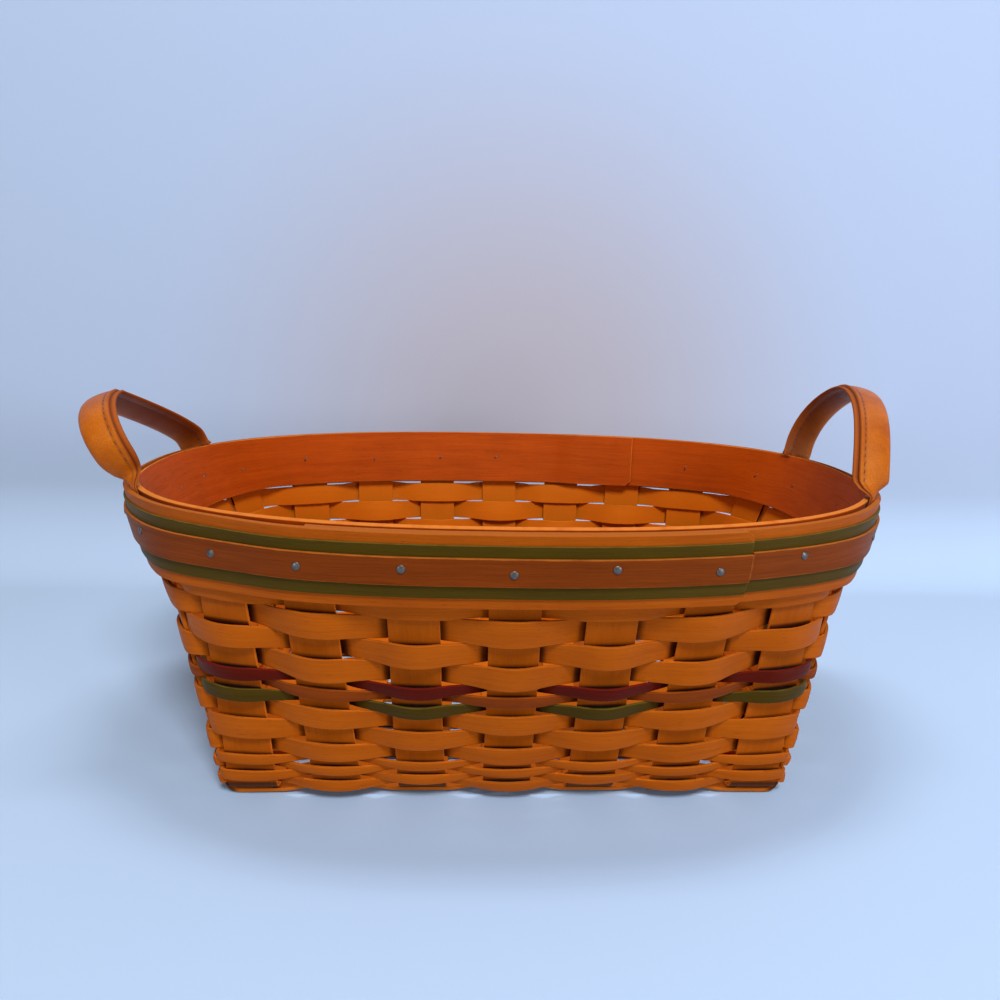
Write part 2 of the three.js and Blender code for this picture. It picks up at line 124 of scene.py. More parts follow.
card_material, tree = new_material("pale_card")
coords = node(tree, "ShaderNodeTexCoord").outputs["Object"]
spot = node(tree, "ShaderNodeSeparateXYZ", Vector=coords).outputs
to_right = ramp(tree, spot[0], left_end, right_end, kind="SMOOTHSTEP")
to_top = ramp(tree, spot[2], back_starts, back_full, kind="SMOOTHSTEP")
from_middle = node(tree, "ShaderNodeVectorMath", {"operation": "DISTANCE"}, _0=coords,
                   _1=back_shadow_place).outputs["Value"]
back_shadowed = ramp(tree, from_middle, shadow_core, shadow_reach, 1.0, 0.0, kind="SMOOTHSTEP")
back_tone = mix(tree, back_shadowed, mix(tree, to_right, back_left, back_right), back_shadow_tone)
tone = mix(tree, to_top, mix(tree, to_right, floor_left, floor_right), back_tone)
mottled = mix(tree, uneven(tree, coords, 2.0, 2.0), tone, card_mottle, "MULTIPLY")
rays = node(tree, "ShaderNodeLightPath").outputs
seen = reckon(tree, "MAXIMUM", rays["Is Camera Ray"], rays["Is Glossy Ray"])
seen = reckon(tree, "MAXIMUM", seen, rays["Is Transmission Ray"])
dull_card = node(tree, "ShaderNodeBsdfDiffuse", Color=mix(tree, seen, card_glow, mottled))
node(tree, "ShaderNodeOutputMaterial", Surface=dull_card.outputs[0])

bm = bmesh.new()
left = bm.verts.new((-card_half_width, card_front, 0))
right = bm.verts.new((card_half_width, card_front, 0))
edge = bm.edges.new((left, right))
profile = [(card_front, 0.0), (card_bend, 0.0)]
for step in range(1, card_bend_steps + 1):
    angle = math.pi / 2 * step / card_bend_steps
    profile.append((card_bend + card_radius * math.sin(angle), card_radius * (1 - math.cos(angle))))
profile.append((card_bend + card_radius, card_top))
for before, after in zip(profile, profile[1:]):
    grown = bmesh.ops.extrude_edge_only(bm, edges=[edge])["geom"]
    moved = [part for part in grown if isinstance(part, bmesh.types.BMVert)]
    bmesh.ops.translate(bm, verts=moved, vec=(0, after[0] - before[0], after[1] - before[1]))
    edge = next(part for part in grown if isinstance(part, bmesh.types.BMEdge)
                and all(vert in moved for vert in part.verts))
bmesh.ops.recalc_face_normals(bm, faces=bm.faces)
card = new_piece("card", bm, card_material)

world = bpy.data.worlds.new("room")
world.use_nodes = True
tree = world.node_tree
tree.nodes.clear()
air = node(tree, "ShaderNodeBackground", Color=srgb(240, 241, 246), Strength=0.25)
node(tree, "ShaderNodeOutputWorld", Surface=air.outputs[0])
scene.world = world


def lamp(name, place, aim, size, power, tint):
    light = bpy.data.lights.new(name, "AREA")
    light.shape = "DISK"
    light.size = size
    light.energy = power
    light.color = tint
    made = bpy.data.objects.new(name, light)
    made.location = place
    made.rotation_euler = (Vector(aim) - Vector(place)).to_track_quat("-Z", "Y").to_euler()
    scene.collection.objects.link(made)


lamp("overhead", place=(0.0, 0.2, 1.15), aim=(0, 0, 0), size=0.45, power=10.0,
     tint=(1.0, 0.99, 0.98))
lamp("high_front", place=(0.15, -1.0, 1.2), aim=(0, 0, 0), size=0.45, power=18.0,
     tint=(1.0, 0.985, 0.96))
lamp("right_front", place=(1.1, -1.05, 0.24), aim=(0, 0, 0.05), size=0.4, power=7.5,
     tint=(1.0, 0.98, 0.95))
lamp("left_front", place=(-0.95, -1.1, 0.24), aim=(0, 0, 0.05), size=0.4, power=3.5,
     tint=(1.0, 0.98, 0.95))

camera_place = Vector((-0.00768, -0.31869, 0.16618))
camera_yaw = 0.0473
camera_pitch = 0.2408
camera_roll = 0.0263
lens = bpy.data.cameras.new("camera")
lens.lens = 30.57
lens.sensor_width = 36
lens.shift_x = -0.0114
lens.clip_start = 0.01
camera = bpy.data.objects.new("camera", lens)
ahead = Vector((math.sin(camera_yaw) * math.cos(camera_pitch),
                math.cos(camera_yaw) * math.cos(camera_pitch), -math.sin(camera_pitch)))
sideways = Vector((math.cos(camera_yaw), -math.sin(camera_yaw), 0))
upward = sideways.cross(ahead)
tilted_side = sideways * math.cos(camera_roll) + upward * math.sin(camera_roll)
tilted_up = upward * math.cos(camera_roll) - sideways * math.sin(camera_roll)
camera.matrix_world = Matrix.Translation(camera_place) @ Matrix(
    (tilted_side, tilted_up, -ahead)).transposed().to_4x4()
scene.collection.objects.link(camera)
scene.camera = camera

# Upright splints: 13 thin strips of maple, 16 mm wide. They cross under the basket in
# a plain weave, turn up at its edge while wet, and stand as the walls.
cross_count = 7
length_count = 6
upright_count = 2 * (cross_count + length_count)
upright_width = 0.0159
upright_thickness = 0.0012
upright_eased = 0.00025
cross_pitch_floor, cross_pitch_rim = 0.028, 0.030
length_pitch_floor, length_pitch_rim = 0.0219, 0.0192
floor_half_length, floor_half_width = 0.0928, 0.0638
rim_half_length, rim_half_width, rim_power = 0.1345, 0.086, 2.4
basket_height = 0.1
low_level, high_level = 0.0006, 0.0021  # of the under and the over splint where two cross
crossing_play = 0.0002
corner_rise, side_rise = 0.0005, 0.0014  # the base sags, so its edge bows up off the table
turn_reach = 0.0036
upright_top = 0.0966
edge_reach = 0.00825  # from an upright's middle to just past its edge
edge_share = 0.28  # the same as a share of the way to the next upright
rounding = 1.0001
cup_height = 0.076  # above it the rim bands press each upright into the oval
cup_kept = 0.95
drift_size, drift_pace, drift_phase, drift_height = 0.0003, 60, 1.7, 0.03
grain_step = 0.71
middle_x, middle_y = 0.005121, 0.00095
front_strays = (-0.0013, -0.0035, -0.0013, 0.0008, 0.0021, 0.0028, 0.0029)


def oval_tangent(x, y):
    nx = math.copysign(abs(x) ** (rim_power - 1), x) / rim_half_length ** rim_power
    ny = math.copysign(abs(y) ** (rim_power - 1), y) / rim_half_width ** rim_power
    return Vector((-ny, nx)).normalized()


def oval_other(value, own, other):
    return other * (1 - abs(value / own) ** rim_power) ** (1 / rim_power)


uprights = []  # floor point, rim point, direction round the wall at the floor and at the rim
for side in range(4):
    count = cross_count if side % 2 == 0 else length_count
    sign = 1 if side < 2 else -1
    for index in range(count):
        step = sign * (index - (count - 1) / 2)
        if side % 2 == 0:
            u = step * cross_pitch_rim + (front_strays[index] if side == 0 else 0)
            y = -sign * oval_other(u, rim_half_length, rim_half_width)
            uprights.append((Vector((step * cross_pitch_floor, -sign * floor_half_width)),
                             Vector((u, y)), Vector((sign, 0)), oval_tangent(u, y)))
        else:
            u = step * length_pitch_rim
            x = sign * oval_other(u, rim_half_width, rim_half_length)
            uprights.append((Vector((sign * floor_half_length, step * length_pitch_floor)),
                             Vector((x, u)), Vector((0, sign)), oval_tangent(x, u)))


def smooth(share):
    share = max(0.0, min(1.0, share))
    return share * share * (3 - 2 * share)


def upright_cup(k):
    # How far half an upright turns with the oval at the rim
    before, here, after = (uprights[(k + shift) % upright_count] for shift in (-1, 0, 1))
    turn = before[3].angle(after[3]) / 2
    pitch = ((here[1] - before[1]).length + (after[1] - here[1]).length) / 2
    return turn * edge_reach / pitch


cups = [upright_cup(k) for k in range(upright_count)]


def on_upright(k, z, share):
    # Point and direction on the middle of an upright's thickness
    floor, rim, floor_along, rim_along = uprights[k % upright_count]
    rise = z / basket_height
    centre = floor.lerp(rim, rise)
    along = (floor_along * (1 - rise) + rim_along * rise).normalized()
    out = Vector((along.y, -along.x))
    cup = cups[k % upright_count] * cup_kept * smooth(z / cup_height)
    point = (centre + along * edge_reach * share
             + out * edge_reach * cup * ((1 - share * share) / 2 - 1 / 3))
    return point, along * math.cos(cup * share) - out * math.sin(cup * share)


def wall(s, z, offset=0.0):
    # A point of the wall: s counts uprights round it, offset goes outwards
    k = round(s)
    if abs(s - k) <= edge_share * rounding:
        point, way = on_upright(k, z, (s - k) / edge_share)
    else:
        k = math.floor(s)
        a, way_a = on_upright(k, z, 1.0)
        b, way_b = on_upright(k + 1, z, -1.0)
        span = (b - a).length
        t = (s - k - edge_share) / (1 - 2 * edge_share)
        point = (a * (1 - t) ** 2 * (1 + 2 * t) + b * t * t * (3 - 2 * t)
                 + (way_a * t * (1 - t) ** 2 - way_b * t * t * (1 - t)) * span)
        way = ((b - a) * 6 * t * (1 - t)
               + (way_a * (1 - t) * (1 - 3 * t) + way_b * t * (3 * t - 2)) * span)
        way.normalize()
    return Vector((point.x + way.y * offset + middle_x, point.y - way.x * offset + middle_y, z))


# The woven rows cross the uprights at these heights, and shade is painted on each upright's outer face
# where a row passes in front of it. They climb to the two front corners, less so under the rim, and lie
# lower at the back.
row_widths = (0.0083, 0.0083, 0.00745, 0.00745, 0.0035, 0.0033, 0.0035, 0.00615, 0.00615, 0.0056,
              0.0025, 0.0025, 0.0025, 0.0025)
row_gap = 0.00033
weave_top = 0.0784
row_tops = [weave_top - sum(row_widths[:row]) - row * row_gap for row in range(len(row_widths))]
front_middle = (cross_count - 1) / 2
corner_climb, corner_from_middle, corner_span = 0.0046, 3.5, 1.5  # the last two count uprights
full_climb_height = 0.036
top_loss, top_loss_from, top_loss_over = 0.55, 0.05, 0.028
low_climb, low_climb_height = 0.0005, 0.025
back_drop = 0.0026
# Painted shade on the uprights' foot below the last row and round their turn under the base, where the
# raised base edge leaves them in shadow
base_turn_shade = 0.85
shade_inset, shade_fade = 0.0002, 0.0006


def row_height(s, z):
    turn = 2 * math.pi * (s - front_middle) / upright_count
    from_middle = (s - front_middle + upright_count / 2) % upright_count - upright_count / 2
    near_corner = math.exp(-((abs(from_middle) - corner_from_middle) / corner_span) ** 2)
    climb = (corner_climb * near_corner * smooth(z / full_climb_height)
             * (1 - top_loss * smooth((z - top_loss_from) / top_loss_over)))
    climb += low_climb * (1 - smooth(z / low_climb_height))
    return z + climb - back_drop * (z / weave_top) * (1 - math.cos(turn)) / 2


# Painted shade: the share of dark on an upright's outer face, full behind each row in front of it and
# fading out just past that row's edges
def painted_gap_shade(k, z):
    if z < row_height(k, row_tops[-1] - row_widths[-1]):
        return base_turn_shade
    stains = []
    for row, width in enumerate(row_widths):
        if (k + row) % 2 == 0:
            from_row = abs(z - row_height(k, row_tops[row] - width / 2)) - width / 2
            stains.append(1 - smooth((from_row + shade_inset) / shade_fade))
    return max(stains)


def lay_splint(name, material, steps_along, steps_across, length, width, thickness, eased,
               place, shift=0.0, painted_shade=None):
    # A flat grid is laid along the splint's path, then gets its thickness and eased edges.
    # Map "fibre" runs along and across it in metres, "reach" is the way to its end and edge, and the
    # third map holds the share of painted shade on its outer face. Shift gives each splint other grain.
    bm = bmesh.new()
    fibre = bm.loops.layers.uv.new("fibre")
    reach = bm.loops.layers.uv.new("reach")
    shade_uv = bm.loops.layers.uv.new("shade_uv")
    bmesh.ops.create_grid(bm, x_segments=steps_along, y_segments=steps_across, size=0.5)
    for face in bm.faces:
        for loop in face.loops:
            a, b = loop.vert.co.x + 0.5, loop.vert.co.y + 0.5
            loop[fibre].uv = (a * length + shift, (b - 0.5) * width)
            loop[reach].uv = (min(a, 1 - a) * length, min(b, 1 - b) * width)
            loop[shade_uv].uv = (painted_shade(a) if painted_shade else 0.0, 0.0)
    for vert in bm.verts:
        vert.co = place(vert.co.x + 0.5, vert.co.y + 0.5)
    made = new_piece(name, bm, material)
    solid = made.modifiers.new("thickness", "SOLIDIFY")
    solid.thickness = thickness
    solid.offset = 0
    solid.use_even_offset = True
    ease = made.modifiers.new("eased_edges", "BEVEL")
    ease.width = eased
    ease.segments = 2
    ease.limit_method = "ANGLE"
    ease.angle_limit = math.radians(50)
    ease.harden_normals = True
    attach(made, "basket")
    return made


def splint_grain():
    # Split wood after staining: fine streaks along the fibre, small dark flecks, blotches
    # where the stain took, and pale cut edges. Ripples are counted per metre.
    group = bpy.data.node_groups.new("splint_grain", "ShaderNodeTree")
    for name, kind in (("Face", "Color"), ("Grain", "Color"), ("Cut Edge", "Color"),
                       ("Streaks", "Float"), ("Flecks", "Float"), ("Blotches", "Float"),
                       ("Edge Width", "Float")):
        group.interface.new_socket(name, in_out="INPUT", socket_type="NodeSocket" + kind)
    for name, kind in (("Color", "Color"), ("Roughness", "Float"), ("Height", "Float")):
        group.interface.new_socket(name, in_out="OUTPUT", socket_type="NodeSocket" + kind)
    given = group.nodes.new("NodeGroupInput").outputs
    fibre = node(group, "ShaderNodeUVMap", {"uv_map": "fibre"}).outputs[0]
    reach = node(group, "ShaderNodeUVMap", {"uv_map": "reach"}).outputs[0]
    coords = node(group, "ShaderNodeTexCoord").outputs["Object"]
    sway = reckon(group, "MULTIPLY", uneven(group, fibre, 45.0, 1.0), 0.0022)
    lift = node(group, "ShaderNodeCombineXYZ", Y=sway).outputs[0]
    bent = node(group, "ShaderNodeVectorMath", {"operation": "ADD"}, _0=fibre, _1=lift).outputs[0]

    def ripples(along, across, detail, roughness=0.5):
        drawn = node(group, "ShaderNodeMapping", Vector=bent, Scale=(along, across, 1.0))
        return uneven(group, drawn.outputs[0], 1.0, detail, roughness)

    fine = ramp(group, ripples(70.0, 2600.0, 3.0, 0.6), 0.38, 0.66)
    broad = ramp(group, ripples(14.0, 420.0, 2.0), 0.35, 0.68)
    streak = reckon(group, "MULTIPLY_ADD", fine, 0.55, reckon(group, "MULTIPLY", broad, 0.45))
    fleck = ramp(group, ripples(330.0, 3000.0, 2.0), 0.66, 0.74)
    blotch = ramp(group, uneven(group, coords, 38.0, 4.0, 0.6), 0.3, 0.7)
    streaks = reckon(group, "MULTIPLY", streak, given["Streaks"])
    flecks = reckon(group, "MULTIPLY", fleck, given["Flecks"])
    blotches = reckon(group, "MULTIPLY", blotch, given["Blotches"])
    grained = mix(group, streaks, given["Face"], given["Grain"])
    blotched = mix(group, blotches, grained, (0.62, 0.5, 0.4, 1), "MULTIPLY")
    flecked = mix(group, flecks, blotched, srgb(84, 38, 14))
    to_end, to_side = node(group, "ShaderNodeSeparateXYZ", Vector=reach).outputs[:2]
    ragged = reckon(group, "MULTIPLY_ADD", ripples(220.0, 500.0, 2.0), 0.0005, -0.00025)
    to_edge = reckon(group, "ADD", reckon(group, "MINIMUM", to_end, to_side), ragged)
    edge = ramp(group, to_edge, 0.0, given["Edge Width"], 1.0, 0.0)
    edged = mix(group, edge, flecked, given["Cut Edge"])
    streak_dullness = reckon(group, "MULTIPLY_ADD", streak, 0.16, 0.5)
    dullness = reckon(group, "MULTIPLY_ADD", edge, 0.2, streak_dullness)
    height = reckon(group, "MULTIPLY_ADD", fleck, -0.6, reckon(group, "SUBTRACT", 1.0, streak))
    node(group, "NodeGroupOutput", Color=edged, Roughness=dullness, Height=height)
    return group


grain_group = splint_grain()
grain_relief = 0.00007
# The colour of the painted shade, and the lighter orange painted on inner faces for the light inside
# the basket
painted_shade_tone, painted_inner_light = srgb(38, 3, 1), srgb(236, 120, 16)


def splint_material(name, face, grain, cut, streaks, flecks, blotches, edge_width=0.0002,
                    inner_light=0.0):
    # Painted shade lies on the outer face alone, and the inner face is painted lighter for the light
    # inside the basket
    material, tree = new_material(name)
    grained = node(tree, "ShaderNodeGroup", {"node_tree": grain_group}, Face=face, Grain=grain,
                   Cut_Edge=cut, Streaks=streaks, Flecks=flecks, Blotches=blotches,
                   Edge_Width=edge_width).outputs
    coords = node(tree, "ShaderNodeTexCoord").outputs
    outward = node(tree, "ShaderNodeVectorMath", {"operation": "MULTIPLY"}, _0=coords["Object"],
                   _1=(1.0, 1.0, 0.0)).outputs[0]
    facing = node(tree, "ShaderNodeVectorMath", {"operation": "DOT_PRODUCT"}, _0=outward,
                  _1=coords["Normal"]).outputs["Value"]
    outer = reckon(tree, "GREATER_THAN", facing, 0.0)
    # Painted light: inner faces are mixed towards a lighter orange, standing in for the light inside
    # the basket
    inner_light_share = reckon(tree, "MULTIPLY_ADD", outer, -inner_light, inner_light)
    inner_lit = mix(tree, inner_light_share, grained["Color"], painted_inner_light)
    shade_uvs = node(tree, "ShaderNodeUVMap", {"uv_map": "shade_uv"}).outputs[0]
    shade_share = node(tree, "ShaderNodeSeparateXYZ", Vector=shade_uvs).outputs[0]
    gap_shaded = mix(tree, reckon(tree, "MULTIPLY", outer, shade_share), inner_lit, painted_shade_tone)
    bump = node(tree, "ShaderNodeBump", Strength=0.55, Distance=grain_relief,
                Height=grained["Height"]).outputs[0]
    wood = node(tree, "ShaderNodeBsdfPrincipled", Base_Color=gap_shaded,
                Roughness=grained["Roughness"], Normal=bump, Specular_IOR_Level=0.24,
                Specular_Tint=(1.0, 0.56, 0.22, 1.0), Sheen_Weight=0.05, Sheen_Roughness=0.4,
                Sheen_Tint=(1.0, 0.7, 0.4, 1.0))
    node(tree, "ShaderNodeOutputMaterial", Surface=wood.outputs[0])
    return material


upright_wood = splint_material("upright_splint", face=srgb(160, 79, 8), grain=srgb(130, 55, 5),
                               cut=srgb(168, 88, 20), streaks=0.4, flecks=0.3, blotches=0.35,
                               inner_light=0.45)


def base_rise(spot):
    along, across = abs(spot.x) / floor_half_length, abs(spot.y) / floor_half_width
    edge = min(1.0, max(along, across)) ** 3
    return edge * (corner_rise + (side_rise - corner_rise) * max(0.0, 1 - min(along, across) ** 2))


def upright_piece(name, across, levels, pitch, line, start_k, end_k, number):
    # Stations run down the first wall, under the basket, and up the other wall
    floor_way = Vector((1, 0)) if across else Vector((0, 1))
    run_way = Vector((0, 1)) if across else Vector((1, 0))
    half_floor = floor_half_width if across else floor_half_length
    same = [1 if uprights[k][2].dot(floor_way) > 0 else -1 for k in (start_k, end_k)]
    reach = upright_width / 2 + crossing_play

    def level_at(run):
        if run <= (-(len(levels) - 1) / 2) * pitch:
            return levels[0]
        for index in range(len(levels) - 1):
            middle = (index - (len(levels) - 1) / 2) * pitch
            if run <= middle + pitch:
                share = (run - middle - reach) / (pitch - 2 * reach)
                return levels[index] + (levels[index + 1] - levels[index]) * smooth(share)
        return levels[-1]

    def floor_point(run, w, z):
        spot = floor_way * (line + w) + run_way * run
        return Vector((spot.x + middle_x, spot.y + middle_y, z + base_rise(spot)))

    def wall_point(end, w, z):
        k = (start_k, end_k)[end]
        # No upright stands quite straight
        drift = drift_size * math.sin(z * drift_pace + k * drift_phase) * smooth(z / drift_height)
        return wall(k + edge_share * (same[end] * w + drift) / edge_reach, z)

    def turn_point(end, w, share):
        level = (levels[-1] if end else levels[0])
        side = 1 if end else -1
        start = floor_point(side * (half_floor - turn_reach), w, level)
        spot = floor_way * (line + w) + run_way * side * half_floor
        level += base_rise(spot)
        corner = wall_point(end, w, level)
        top = wall_point(end, w, level + turn_reach)
        return start * (1 - share) ** 2 + corner * 2 * share * (1 - share) + top * share ** 2

    wall_steps, turn_steps, floor_steps = 110, 6, 46
    ends = []
    for end in (0, 1):
        corner = floor_way * line + run_way * (half_floor if end else -half_floor)
        low = (levels[-1] if end else levels[0]) + base_rise(corner) + turn_reach
        ends.append([("turn", end, step / turn_steps) for step in range(turn_steps)]
                    + [("wall", end, low + (upright_top - low) * step / wall_steps)
                       for step in range(wall_steps + 1)])
    inner = half_floor - turn_reach
    floor = [("floor", 0, -inner + 2 * inner * step / floor_steps) for step in range(1, floor_steps)]
    stations = ends[0][::-1] + floor + ends[1]
    total = len(stations) - 1

    def place(a, b):
        kind, end, value = stations[round(a * total)]
        w = (b - 0.5) * upright_width
        if kind == "floor":
            return floor_point(value, w, level_at(value))
        if kind == "turn":
            return turn_point(end, w, value)
        return wall_point(end, w, value)

    # Painted shade along the splint: none under the floor, rising round the turn, and on the walls the
    # painted gap shade
    def painted_shade(a):
        kind, end, value = stations[round(a * total)]
        if kind == "floor":
            return 0.0
        if kind == "turn":
            return base_turn_shade * smooth(value * 3)
        return painted_gap_shade((start_k, end_k)[end], value)

    made = lay_splint("splint_" + name, upright_wood, steps_along=total,
                      steps_across=6, length=2 * (half_floor + basket_height),
                      width=upright_width, thickness=upright_thickness, eased=upright_eased,
                      place=place, shift=number * grain_step, painted_shade=painted_shade)
    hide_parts(name)


for i in range(cross_count):
    levels = [high_level if (i + j) % 2 == 0 else low_level for j in range(length_count)]
    upright_piece(f"upright_cross_{i + 1}", across=True, levels=levels, pitch=length_pitch_floor,
                  line=(i - (cross_count - 1) / 2) * cross_pitch_floor, start_k=i,
                  end_k=cross_count + length_count + cross_count - 1 - i, number=i)
for j in range(length_count):
    levels = [low_level if (i + j) % 2 == 0 else high_level for i in range(cross_count)]
    upright_piece(f"upright_length_{j + 1}", across=False, levels=levels, pitch=cross_pitch_floor,
                  line=(j - (length_count - 1) / 2) * length_pitch_floor,
                  start_k=2 * cross_count + length_count + length_count - 1 - j,
                  end_k=cross_count + j, number=cross_count + j)

# Woven rows: 14 single splints, each once round the wall, in front of one upright and
# behind the next. Wide ones at the top, a red, a brown and a green one, then narrower
# ones down to the floor. Each ends inside, where its two ends butt behind an upright.
weaver_thickness = 0.001
weave_offset, end_offset = 0.0015, 0.00118  # off the uprights' middle, less at the ends
edge_bow, corner_bow, end_bow = 0.3, 0.95, 0.15  # shares of a row's bow off the uprights
full_bow = 0.003
run_spread = 0.0006  # each run widens up and down where it passes an upright
spread_up, spread_down = 1.15, 0.45
butt_gap = 0.0065  # half the gap between a row's two ends, counted in uprights
row_length = 0.7
row_grain_start, row_grain_step = 3, 1.37
row_stray, row_lean, row_crown = 0.00012, 0.0004, 0.0002
row_steps = 16 * upright_count
wide_eased, narrow_eased, narrow_width = 0.00028, 0.00036, 0.005
run_shade_from, run_shade_fade = 0.0013, 0.0009  # how far in a run lies where the painted shade on its outer face begins
wide_wood = splint_material("wide_splint", face=srgb(168, 84, 9), grain=srgb(134, 57, 5),
                            cut=srgb(166, 84, 16), streaks=0.5, flecks=0.55, blotches=0.4,
                            inner_light=0.45)
red_wood = splint_material("red_splint", face=srgb(78, 0, 3), grain=srgb(52, 0, 2),
                           cut=srgb(96, 10, 10), streaks=0.6, flecks=0.3, blotches=0.35)
brown_wood = splint_material("brown_splint", face=srgb(122, 52, 7), grain=srgb(88, 33, 4),
                             cut=srgb(134, 62, 14), streaks=0.7, flecks=0.5, blotches=0.35)
green_wood = splint_material("green_splint", face=srgb(60, 47, 5), grain=srgb(42, 33, 2),
                             cut=srgb(84, 70, 18), streaks=0.6, flecks=0.4, blotches=0.35)
row_woods = {"natural_splint": wide_wood, "red_splint": red_wood, "brown_splint": brown_wood,
             "green_splint": green_wood}
# Name, how far the row bows off the uprights, and its slot
rows = [("01_wide", 0.0004, "natural_splint"), ("02_wide", 0.0021, "natural_splint"),
        ("03_wide", 0.003, "natural_splint"), ("04_wide", 0.003, "natural_splint"),
        ("05_red", 0.0031, "red_splint"), ("06_accent", 0.0013, "brown_splint"),
        ("07_green", 0.0031, "green_splint"), ("08_middle", 0.0018, "natural_splint"),
        ("09_middle", 0.0018, "natural_splint"), ("10_middle", 0.0018, "natural_splint"),
        ("11_narrow", 0.0015, "natural_splint"), ("12_narrow", 0.0015, "natural_splint"),
        ("13_narrow", 0.0015, "natural_splint"), ("14_narrow", 0.0018, "natural_splint")]


def bow_share(k):
    place = k % (upright_count // 2)
    if place >= cross_count:
        return end_bow
    return corner_bow if place in (0, cross_count - 1) else 1.0


def offset_on(k):
    return end_offset if k % (upright_count // 2) >= cross_count else weave_offset


def weave_out(s, row, bow):
    # How far a row's middle lies outwards: bowed over each upright, crossing in the gaps
    k = round(s)
    if abs(s - k) <= edge_share:
        share = (s - k) / edge_share
        lift = bow * bow_share(k)
        return (1 if (k + row) % 2 == 0 else -1) * (
            offset_on(k) + lift * (edge_bow + (1 - edge_bow) * (1 - share * share)))
    k = math.floor(s)
    side = 1 if (k + row) % 2 == 0 else -1
    t = (s - k - edge_share) / (1 - 2 * edge_share)
    z = basket_height / 2
    span = (on_upright(k, z, 1.0)[0] - on_upright(k + 1, z, -1.0)[0]).length
    a, b = (offset_on(n) + bow * bow_share(n) * edge_bow for n in (k, k + 1))
    slope_a, slope_b = (-2 * bow * bow_share(n) * (1 - edge_bow) / edge_reach * span
                        for n in (k, k + 1))
    return side * (a * (1 - t) ** 2 * (1 + 2 * t) - b * t * t * (3 - 2 * t)
                   + slope_a * t * (1 - t) ** 2 - slope_b * t * t * (1 - t))


def weave_row(row, kind, bow, slot):
    width = row_widths[row]
    high, low = row_tops[row], row_tops[row] - width
    begun = (row * 5 + (1 if row % 2 == 0 else 0)) % upright_count
    if (begun + row) % 2 == 0:
        begun += 1

    def way_round(a):
        return begun + butt_gap + a * (upright_count - 2 * butt_gap)

    def place(a, b):
        s = way_round(a)
        out = weave_out(s, row, bow)
        full = max(-1.0, min(1.0, out / weave_offset))
        # The splint is never quite level, straight or flat
        stray = noise.noise(Vector((s * 0.9, row * 7.3, 0.0))) * row_stray
        lean = noise.noise(Vector((s * 1.1, row * 3.1, 9.0))) * row_lean * abs(full)
        crown = row_crown * (1 - (2 * b - 1) ** 2) * full
        spread = run_spread * min(1.0, abs(out) / full_bow) * (spread_up * b - spread_down * (1 - b))
        z = row_height(s, low + (high - low) * b) + stray + spread
        return wall(s, z, out + lean * (2 * b - 1) + crown)

    # Painted shade on the outer face where the run dives in behind an upright, in the crevice beside
    # its edge
    def painted_shade(a):
        return smooth((-weave_out(way_round(a), row, bow) - run_shade_from) / run_shade_fade)

    made = lay_splint("splint_weaver_" + kind, row_woods[slot], steps_along=row_steps,
                      steps_across=4, length=row_length, width=high - low,
                      thickness=weaver_thickness,
                      eased=wide_eased if width > narrow_width else narrow_eased,
                      place=place, shift=row_grain_start + row * row_grain_step, painted_shade=painted_shade)
    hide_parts("weaver_" + kind)


for row, (kind, bow, slot) in enumerate(rows):
    weave_row(row, kind, bow, slot)

# Rim bands: two long strips of maple bent round the inside and the outside of the wall.
# They pinch the uprights between them and are tacked through. The outer one laps over
# its own start on the front, the inner one over its own end at the back.
band_thickness = 0.0018
band_layer = 0.0019
band_eased = 0.0003
outer_low, outer_high = 0.0760, 0.0996
outer_low_offset, outer_high_offset = 0.00263, 0.0009
outer_from, outer_to = 1.1, 31.24  # in uprights round the wall, more than once round
outer_steps, outer_length = 366, 0.83
climb_from, climb_to = 25.95, 27.05
inner_low, inner_high = 0.0777, 0.1000
inner_low_offset, inner_high_offset = 0.0025, 0.0009
inner_from, inner_to = 13.87, 40.72
inner_steps, inner_length = 322, 0.75
inner_climb_from, inner_climb_over = 14.77, 0.4
end_clip, end_clip_over = 0.0018, 0.06
band_wood = splint_material("rim_band", face=srgb(162, 80, 9), grain=srgb(130, 54, 5),
                            cut=srgb(152, 78, 20), streaks=0.7, flecks=0.7, blotches=0.45,
                            edge_width=0.0003)
# The inner band is painted a redder, deeper orange than the outer one, standing in for the orange light
# bounced round inside the basket
inner_band_bounce_wood = splint_material("inner_rim_band_painted_bounce", face=srgb(174, 67, 2), grain=srgb(144, 49, 1),
                             cut=srgb(192, 108, 38), streaks=0.8, flecks=0.7, blotches=0.5,
                             edge_width=0.0003)


def outer_face(z, level):
    share = (z - outer_low) / (outer_high - outer_low)
    return outer_low_offset + (outer_high_offset - outer_low_offset) * share + level * band_layer


def outer_level(s):
    return smooth((s - climb_from) / (climb_to - climb_from))


def outer_band(a, b):
    s = outer_from + a * (outer_to - outer_from)
    clipped = max(0.0, 1 - (outer_to - s) / end_clip_over) * end_clip
    middle = (outer_low + outer_high) / 2
    z = middle + (2 * b - 1) * ((outer_high - outer_low) / 2 - clipped)
    return wall(s, z, outer_face(z, outer_level(s)) + band_thickness / 2)


def inner_band(a, b):
    s = inner_from + a * (inner_to - inner_from)
    clipped = max(0.0, 1 - (s - inner_from) / end_clip_over) * end_clip
    z = inner_low + clipped + (inner_high - inner_low - clipped) * b
    share = (z - inner_low) / (inner_high - inner_low)
    level = 1 - smooth((s - inner_climb_from) / inner_climb_over)
    face = inner_low_offset + (inner_high_offset - inner_low_offset) * share
    return wall(s, z, -face - level * band_layer - band_thickness / 2)


